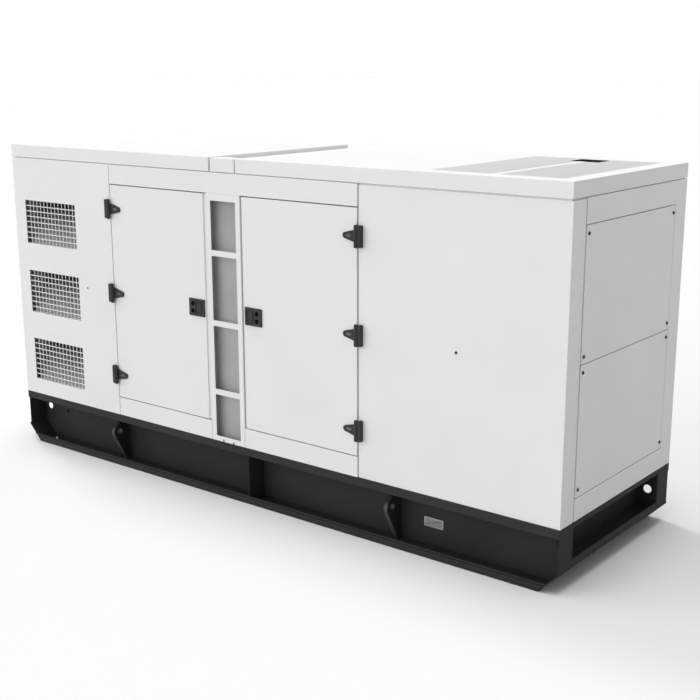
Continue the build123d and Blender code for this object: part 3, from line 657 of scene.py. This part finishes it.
for joint, tongues, way in (
    ("left_door", "front_left_tongues", 1), ("right_door", "front_right_tongues", -1),
):
    joint_rows = frame["record"]["behaviour"]["joints"]
    pin_x, pin_y = next(row["pos_m"][:2] for row in joint_rows if row["child"] == joint)
    tongue_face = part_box(tongues)[1].y - tongue_thickness
    leaf_face = pin_y - leaf_rise
    for level in hinge_levels:
        for body, side in ((joint, 1), ("canopy", -1)):
            place = (pin_x + way * boss_reach, side * tongue_face, level)
            turned(bosses[body], boss_outline, place, (0, -side, 0), 20, boss_stretch)
            pin_top = (pin_x, side * pin_y, level + hinge_half)
            pin_foot = (pin_x, side * pin_y, level - hinge_half)
            turned(fixings, pin_outline, pin_top, upward)
            turned(fixings, pin_outline, pin_foot, (0, 0, -1))
            for rise in (-leaf_screw_rise, 0, leaf_screw_rise):
                screw = (pin_x - way * leaf_screw_reach, side * leaf_face, level + rise)
                turned(fixings, leaf_screw_outline, screw, (0, -side, 0), 12)
set_piece(fixings, "hinge_pins_and_screws", cast_black, "canopy")
for body, build in bosses.items():
    set_piece(build, f"{body}_hinge_bosses", boss_grey, body)

# Paddle latches: black die-cast plates with a lever in a pocket and two round locks beside it, bolted
# through the door. The locks' faces are painted nearly black and mirror almost nothing, as painted shade
# for deep keyways.
latch_edge = 0.0016
for name in ("front_left_latch", "front_right_latch", "rear_latches"):
    soften_edges(name, latch_edge, 3)
    paint_node(name, cast_black)
# Near black with hardly any reflection: painted shade for the depth of the keyways.
lock_painted_shade_black = sprayed_coat("lock_painted_shade_black", grey(0.0015), grey(0.003), 0.5, 0.7, 800.0, 0.0003)
set_specular(lock_painted_shade_black, 0.02)
lock_outline = [
    (0, 0), (0.0138, 0), (0.0136, 0.0012), (0.0126, 0.0018), (0.0104, 0.0010), (0.0024, 0.0010),
    (0.0020, 0.0004), (0, 0.0004),
]
lock_reach, lock_rise = 0.030, 0.022
for latch, body, way in (("front_left_latch", "left_door", -1), ("front_right_latch", "right_door", 1)):
    low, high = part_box(latch)
    middle = (low + high) / 2
    for title, rider, face, side in ((body, body, low.y, -1), (f"rear_{body}", "canopy", -low.y, 1)):
        locks = bmesh.new()
        for rise in (-lock_rise, lock_rise):
            turned(locks, lock_outline, (middle.x + way * lock_reach, face, middle.z + rise), (0, side, 0))
        set_piece(locks, f"{title}_latch_locks", lock_painted_shade_black, rider)

# Roof: two white lids folded down over the walls, with a lower white strip between them, all bolted
# from inside.
roof_edge = 0.003
for name in ("roof_left", "roof_right", "roof_bridge"):
    soften_edges(name, roof_edge)
    paint_node(name, canopy_white)

# Roof outlets: welded wire mesh in two frames of flat bar, let into the right lid over the radiator's
# air duct and painted with it.


def wire(build, start, end, radius):
    """One straight wire with six sides between two points."""
    start, end = Vector(start), Vector(end)
    run = end - start
    made = bmesh.ops.create_cone(
        build, cap_ends=True, segments=6, radius1=radius, radius2=radius, depth=run.length,
    )["verts"]
    turn = Vector((0, 0, 1)).rotation_difference(run).to_matrix()
    bmesh.ops.rotate(build, verts=made, cent=(0, 0, 0), matrix=turn)
    bmesh.ops.translate(build, verts=made, vec=(start + end) / 2)


def runs_past_duct(x, y0, y1):
    """The stretch from y0 to y1 at one x, less the part that the exhaust duct fills."""
    if duct_low.x < x < duct_high.x:
        return ((y0, duct_low.y), (duct_high.y, y1))
    return ((y0, y1),)


mesh_low, mesh_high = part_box("roof_mesh")
duct_low, duct_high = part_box("exhaust_outlet")
flat_bar, flat_depth, bar_edge, bar_step = 0.007, 0.004, 0.001, 0.0002
middle_bar = 0.030
support_half, support_drop, support_cover = 0.004, 0.020, 0.013
wire_radius, wire_pitch, wire_end = 0.0030, 0.0145, 0.005
wire_cover, weld_sink = 0.0032, 0.0006
field_length = (mesh_high.x - mesh_low.x - middle_bar) / 2
top = mesh_high.z
long_z = top - wire_cover
cross_z = long_z - 2 * wire_radius + weld_sink
rows = round((mesh_high.y - mesh_low.y) / wire_pitch)
columns = round(field_length / wire_pitch)
mesh = bmesh.new()
for x0 in (mesh_low.x, mesh_high.x - field_length):
    x1 = x0 + field_length
    for y0, y1 in ((mesh_low.y, mesh_low.y + flat_bar), (mesh_high.y - flat_bar, mesh_high.y)):
        rounded_block(mesh, (x0, y0, top - flat_depth), (x1, y1, top), bar_edge)
    rounded_block(
        mesh, (x0, -support_half, top - support_drop), (x1, support_half, top - support_cover), bar_edge,
    )
    for start in (x0, x1 - flat_bar):
        for y0, y1 in runs_past_duct(start + flat_bar / 2, mesh_low.y, mesh_high.y):
            rounded_block(
                mesh, (start, y0, top - flat_depth), (start + flat_bar, y1, top - bar_step), bar_edge,
            )
    for step in range(1, columns):
        x = x0 + field_length * step / columns
        for y0, y1 in runs_past_duct(x, mesh_low.y + wire_end, mesh_high.y - wire_end):
            wire(mesh, (x, y0, long_z), (x, y1, long_z), wire_radius)
    for step in range(1, rows):
        y = mesh_low.y + (mesh_high.y - mesh_low.y) * step / rows
        first, last = x0 + wire_end, x1 - wire_end
        if duct_low.y < y < duct_high.y:
            if x0 < duct_low.x:
                last = min(last, duct_low.x)
            else:
                first = max(first, duct_high.x)
        wire(mesh, (first, y, cross_z), (last, y, cross_z), wire_radius)
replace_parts(set_piece(mesh, "roof_wire_mesh", canopy_white, "canopy"), "roof_mesh")

# Exhaust outlet: a rectangular duct folded from steel sheet and let into the roof, its rim level with
# the lid. Soot has turned its inside black.
duct_edge = 0.001
soot_black = pressed_board("duct_soot_steel", grey(0.006), grey(0.014))
soften_edges("exhaust_outlet", duct_edge)
paint_node("exhaust_outlet", soot_black)

# Alternator: a cast and fabricated frame in dark grey machine paint, with a terminal box on top and
# cooling ribs along its barrel, bolted to the deck by its foot.
machine_grey = sprayed_coat("machine_grey_paint", grey(0.070), grey(0.105), 0.36, 0.58, 220.0, 0.0006)
machine_dust, machine_dust_amount, casting_edge = (0.20, 0.195, 0.19), 0.5, 0.006
fade_faces(machine_grey, upward, machine_dust, machine_dust_amount)
soften_edges("alternator", casting_edge)
paint_node("alternator", machine_grey)
bolt_outline = [
    (0, 0), (0.0130, 0), (0.0130, 0.0020), (0.0095, 0.0022), (0.0095, 0.0075), (0.0080, 0.0088), (0, 0.0088),
]
alternator_low, alternator_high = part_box("alternator")
barrel_radius = 0.290
barrel_centre = Vector((0, 0, 0.900))
rib_count, rib_angle, rib_turn = 7, -62, 15.5
rib_half, rib_sink, rib_rise, rib_edge = 0.005, 0.004, 0.013, 0.003
rib_x0, rib_x1 = alternator_low.x + 0.160, alternator_high.x - 0.030
ribs = bmesh.new()
for step in range(rib_count):
    angle = math.radians(rib_angle + rib_turn * step)
    radial = Vector((0, -math.cos(angle), math.sin(angle)))
    rib = bmesh.new()
    rounded_block(rib, (rib_x0, -rib_half, -rib_sink), (rib_x1, rib_half, rib_rise), rib_edge)
    turn = Matrix.Rotation(math.atan2(-radial.y, radial.z), 3, "X")
    bmesh.ops.rotate(rib, verts=rib.verts, cent=(0, 0, 0), matrix=turn)
    bmesh.ops.translate(rib, verts=rib.verts, vec=barrel_centre + radial * barrel_radius)
    add_shape(ribs, rib)
box_x0, box_x1, box_half = alternator_low.x + 0.170, alternator_low.x + 0.590, 0.220
lid_margin, lid_depth, lid_rise, lid_edge, lid_bolt_inset = 0.008, 0.030, 0.004, 0.004, 0.030
lid_foot, lid_top = alternator_high.z - lid_depth, alternator_high.z + lid_rise
lid_half = box_half + lid_margin
rounded_block(
    ribs, (box_x0 - lid_margin, -lid_half, lid_foot), (box_x1 + lid_margin, lid_half, lid_top), lid_edge,
)
for x in (box_x0 + lid_bolt_inset, (box_x0 + box_x1) / 2, box_x1 - lid_bolt_inset):
    for y in (-box_half + lid_bolt_inset, box_half - lid_bolt_inset):
        turned(ribs, bolt_outline, (x, y, lid_top), upward, 6)
set_piece(ribs, "alternator_ribs_and_lid", machine_grey, "canopy")

# Engine: a six-cylinder cast-iron diesel in the same paint. Caps and bolts hold its rocker covers, its
# side covers and its manifold, and two screwed filters and a starter hang on its near side.
soften_edges("engine", casting_edge)
paint_node("engine", machine_grey)
engine_low, engine_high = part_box("engine")
block_left, block_right, block_side = engine_low.x + 0.140, engine_high.x, -0.230
cylinder_count = 6
cylinder_pitch = (block_right - block_left) / cylinder_count
rocker_top, rocker_bolt_y = 1.380, 0.075
cover_half, cover_rise, cover_foot, cover_top, cover_edge = 0.090, 0.007, 0.880, 1.075, 0.005
cover_bolt_inset = 0.016
cover_face = block_side - cover_rise
manifold_face, manifold_bolt_levels = -0.300, (1.118, 1.182)
engine_bolts, engine_covers = bmesh.new(), bmesh.new()
for cylinder in range(cylinder_count):
    middle = block_left + cylinder_pitch * (cylinder + 0.5)
    for y in (-rocker_bolt_y, rocker_bolt_y):
        turned(engine_bolts, bolt_outline, (middle, y, rocker_top), upward, 6)
    x0, x1 = middle - cover_half, middle + cover_half
    rounded_block(engine_covers, (x0, cover_face, cover_foot), (x1, block_side, cover_top), cover_edge)
    for x in (x0 + cover_bolt_inset, x1 - cover_bolt_inset):
        for z in (cover_foot + cover_bolt_inset, cover_top - cover_bolt_inset):
            turned(engine_bolts, bolt_outline, (x, cover_face, z), (0, -1, 0), 6)
for port in range(1, cylinder_count):
    for z in manifold_bolt_levels:
        place = (block_left + cylinder_pitch * port, manifold_face, z)
        turned(engine_bolts, bolt_outline, place, (0, -1, 0), 6)
set_piece(engine_covers, "engine_side_covers", machine_grey, "canopy")
set_piece(engine_bolts, "engine_bolts", washer_zinc, "canopy")
filter_paint = sprayed_coat("filter_pale_enamel", grey(0.55), grey(0.60), 0.28, 0.40, 300.0, 0.0003)
filter_outline = [
    (0, 0), (0.020, 0), (0.031, 0.004), (0.036, 0.014), (0.036, 0.128), (0.0335, 0.134), (0.036, 0.140),
    (0.036, 0.158), (0.024, 0.160), (0, 0.160),
]
filter_places = ((0.100, -0.267, 0.705), (0.200, -0.267, 0.705))
filters = bmesh.new()
for place in filter_places:
    turned(filters, filter_outline, place, upward, 24)
set_piece(filters, "engine_filters", filter_paint, "canopy")
filter_head_low, filter_head_high, filter_head_edge = (0.050, -0.304, 0.864), (0.250, -0.228, 0.892), 0.008
starter_outline = [
    (0, 0), (0.018, 0), (0.022, 0.012), (0.034, 0.016), (0.036, 0.030), (0.036, 0.190), (0.038, 0.194),
    (0.038, 0.214), (0.030, 0.222), (0.030, 0.262), (0, 0.262),
]
starter_place = (block_left + 0.262, -0.268, 0.790)
solenoid_outline = [(0, 0), (0.012, 0), (0.020, 0.006), (0.020, 0.100), (0.014, 0.106), (0, 0.106)]
solenoid_place = (block_left + 0.202, -0.250, 0.842)
hung = bmesh.new()
rounded_block(hung, filter_head_low, filter_head_high, filter_head_edge)
turned(hung, starter_outline, starter_place, (-1, 0, 0), 24)
turned(hung, solenoid_outline, solenoid_place, (-1, 0, 0), 20)
set_piece(hung, "engine_starter_and_filter_head", cast_black, "canopy")

# Coolant pipe: rigid steel tube bent from the engine's thermostat housing up and over the fan to the
# radiator's top tank, with a clamped flange at each end.


def straight_run(build, edges, step):
    """Draws an open ring of edges straight along a step and gives the new ring."""
    made = bmesh.ops.extrude_edge_only(build, edges=edges)["geom"]
    moved = [item for item in made if isinstance(item, bmesh.types.BMVert)]
    bmesh.ops.translate(build, verts=moved, vec=step)
    return [item for item in made if isinstance(item, bmesh.types.BMEdge)]


pipe_radius, pipe_bend, pipe_overlap = 0.030, 0.090, 0.010
pipe_x, pipe_y, pipe_foot, pipe_top = block_right - 0.102, -0.100, 1.312, 1.655
shroud_depth, tank_overhang, flange_lift = 0.110, 0.025, 0.006
tank_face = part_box("radiator")[0].x + shroud_depth - tank_overhang
flange_outline = [
    (0, 0), (0.048, 0), (0.050, 0.002), (0.050, 0.012), (0.036, 0.015), (0.034, 0.032), (0, 0.032),
]
pipe = bmesh.new()
ring = bmesh.ops.create_circle(pipe, segments=20, radius=pipe_radius)["verts"]
bmesh.ops.translate(pipe, verts=ring, vec=(pipe_x, pipe_y, pipe_foot))
edges = straight_run(pipe, list(pipe.edges), (0, 0, pipe_top - pipe_bend - pipe_foot))
elbow = bmesh.ops.spin(
    pipe, geom=edges, cent=(pipe_x + pipe_bend, pipe_y, pipe_top - pipe_bend), axis=(0, 1, 0),
    angle=math.radians(90), steps=8,
)["geom_last"]
edges = [item for item in elbow if isinstance(item, bmesh.types.BMEdge)]
straight_run(pipe, edges, (tank_face - pipe_x - pipe_bend + pipe_overlap, 0, 0))
turned(pipe, flange_outline, (pipe_x, pipe_y, pipe_foot + flange_lift), upward, 24)
turned(pipe, flange_outline, (tank_face, pipe_y, pipe_top), (-1, 0, 0), 24)
set_piece(pipe, "coolant_pipe", cast_black, "canopy")

# Fan and radiator: a sheet-metal fan in a shroud, and a core of thin fins between two black tanks,
# which stand across the set on the deck.
fan_edge, tank_edge = 0.003, 0.005
soften_edges("fan", fan_edge)
paint_node("fan", machine_grey)
core_black = sprayed_coat("radiator_black_paint", grey(0.020), grey(0.032), 0.42, 0.60, 300.0, 0.0004)
tree = core_black.node_tree
fins = tree.nodes.new("ShaderNodeTexWave")
fins.bands_direction = "Z"
fins.inputs["Scale"].default_value = 60.0
link(tree, tree.nodes.new("ShaderNodeTexCoord"), "Object", fins, "Vector")
emboss(tree, fins, 0.5, 0.002)
soften_edges("radiator", tank_edge)
paint_node("radiator", core_black)

# Studio: a pale seamless floor under a white dome that is brighter at the front left and behind,
# with one soft lamp overhead and one at the left. The camera stands where the photograph was taken.


def mix_shaders(tree, mask, first, second, output):
    """Puts the second shader where a mask says and the first one elsewhere."""
    choice = tree.nodes.new("ShaderNodeMixShader")
    link(tree, *mask, choice, 0)
    link(tree, first, 0, choice, 1)
    link(tree, second, 0, choice, 2)
    link(tree, choice, 0, tree.nodes[output], "Surface")


floor_size, floor_shade, floor_bounce = 400.0, 0.84, 0.50
floor_build = bmesh.new()
bmesh.ops.create_grid(floor_build, x_segments=1, y_segments=1, size=floor_size / 2)
floor_mesh = bpy.data.meshes.new("studio_floor")
floor_build.to_mesh(floor_mesh)
floor_build.free()
floor = bpy.data.objects.new("studio_floor", floor_mesh)
bpy.context.scene.collection.objects.link(floor)
floor_material, tree, seen = new_material("studio_floor")
seen.inputs["Base Color"].default_value = (*grey(floor_shade), 1)
seen.inputs["Roughness"].default_value = 0.9
set_specular(floor_material, 0.0)
dim = tree.nodes.new("ShaderNodeBsdfDiffuse")
dim.inputs["Color"].default_value = (*grey(floor_bounce), 1)
path = tree.nodes.new("ShaderNodeLightPath")
mix_shaders(tree, (path, "Is Diffuse Ray"), seen, dim, "Material Output")
floor_mesh.materials.append(floor_material)

white = (*grey(1), 1)
dome_level, dome_slope, lobe_power = 0.64, -0.60, 2.0
dome_lobes = (((-0.70, -0.71, 0.0), 2.25), ((-0.25, 0.75, 0.60), 0.55))
world = bpy.data.worlds.new("studio_light")
bpy.context.scene.world = world
world.use_nodes = True
tree = world.node_tree
dome = tree.nodes["Background"]
dome.inputs["Color"].default_value = white
sky = tree.nodes.new("ShaderNodeTexCoord")
height = tree.nodes.new("ShaderNodeSeparateXYZ")
link(tree, sky, "Generated", height, "Vector")
brightness = arithmetic(tree, "MULTIPLY_ADD", (height, "Z"), dome_slope, dome_level)
for way, gain in dome_lobes:
    toward = lean(tree, (sky, "Generated"), Vector(way).normalized())
    lobe = arithmetic(tree, "POWER", arithmetic(tree, "MAXIMUM", toward, 0.0), lobe_power)
    brightness = arithmetic(tree, "MULTIPLY_ADD", lobe, gain, brightness)
link(tree, *brightness, dome, "Strength")
backdrop = tree.nodes.new("ShaderNodeBackground")
backdrop.inputs["Color"].default_value = white
backdrop.inputs["Strength"].default_value = 1.0
path = tree.nodes.new("ShaderNodeLightPath")
mirrored = arithmetic(tree, "MAXIMUM", (path, "Is Camera Ray"), (path, "Is Glossy Ray"))
mix_shaders(tree, mirrored, dome, backdrop, "World Output")

for title, energy, spread, travel in (
    ("top_lamp", 0.95, 26, (-0.08, 0.12, -0.99)), ("left_lamp", 0.72, 14, (0.57, -0.18, -0.80)),
):
    lamp_data = bpy.data.lights.new(title, "SUN")
    lamp_data.energy = energy
    lamp_data.angle = math.radians(spread)
    lamp = bpy.data.objects.new(title, lamp_data)
    lamp.rotation_euler = Vector(travel).to_track_quat("-Z", "Y").to_euler()
    bpy.context.scene.collection.objects.link(lamp)

camera_place, camera_lens = (4.689, -5.591, 2.615), 61.10
yaw, pitch, roll = math.radians(38.28), math.radians(13.73), math.radians(-0.13)
camera_data = bpy.data.cameras.new("photo_camera")
camera_data.sensor_width = 36.0
camera_data.lens = camera_lens
camera = bpy.data.objects.new("photo_camera", camera_data)
forward = Vector((-math.sin(yaw) * math.cos(pitch), math.cos(yaw) * math.cos(pitch), -math.sin(pitch)))
turn = forward.to_track_quat("-Z", "Y").to_matrix().to_4x4() @ Matrix.Rotation(roll, 4, "Z")
camera.matrix_world = Matrix.Translation(camera_place) @ turn
bpy.context.scene.collection.objects.link(camera)
bpy.context.scene.camera = camera
bpy.context.scene.view_settings.view_transform = "Standard"
